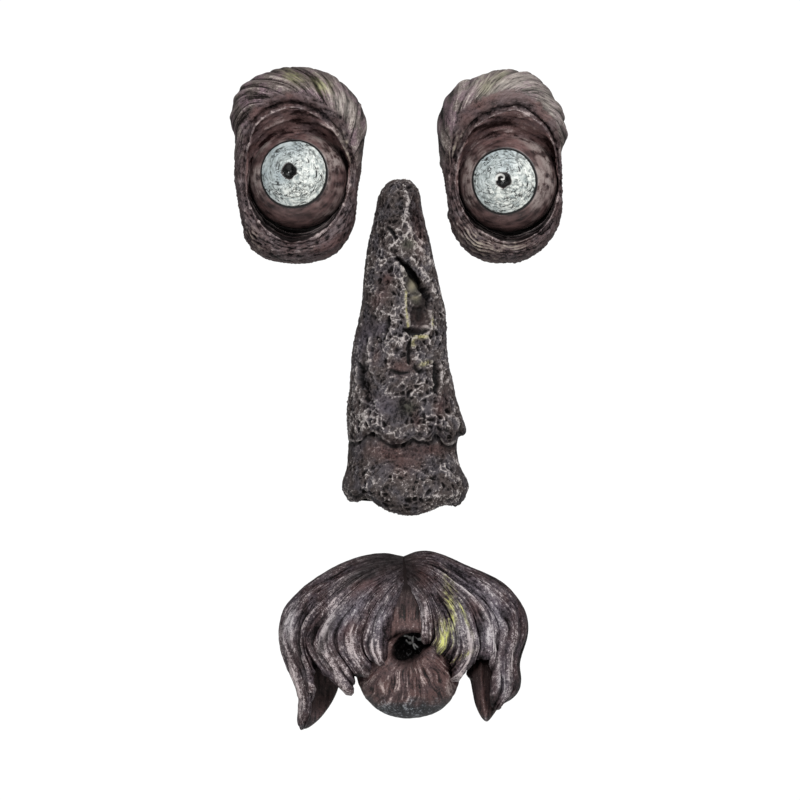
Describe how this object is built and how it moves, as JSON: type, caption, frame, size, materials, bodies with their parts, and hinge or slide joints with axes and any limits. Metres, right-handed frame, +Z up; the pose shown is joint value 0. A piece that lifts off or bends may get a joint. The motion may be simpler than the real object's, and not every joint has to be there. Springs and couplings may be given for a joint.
{
  "type": "tree face sculpture",
  "caption": "Tree face to hang on a trunk: bulging eyes under combed brows, a long bark nose and puckered lips below a drooping moustache, in painted resin.",
  "frame": {"origin": "middle of the nose's flat back, on the plane of the trunk that all four castings hang on", "axes": "+Z up, +X to the right of someone who looks at the face, +Y into the trunk; the face looks along -Y"},
  "size_m": [0.1521, 0.0378, 0.2981],
  "materials": {
    "eye_resin": "cast resin painted dark brown, dry-brushed grey on the raised hair and lids, with a silver-white iris and a black pupil",
    "bark_resin": "cast resin with a netted bark relief, black in the pits, dry-brushed grey on the ridges, moss-yellow touches by the split",
    "hair_resin": "cast resin with combed locks, dark brown with a dull sheen, dry-brushed grey and lilac, one yellow-green lock, glossy black mouth"
  },
  "bodies": {
    "root": {"eye_left": "eye_resin", "eye_right": "eye_resin", "nose": "bark_resin", "mouth": "hair_resin"}
  },
  "joints": []
}
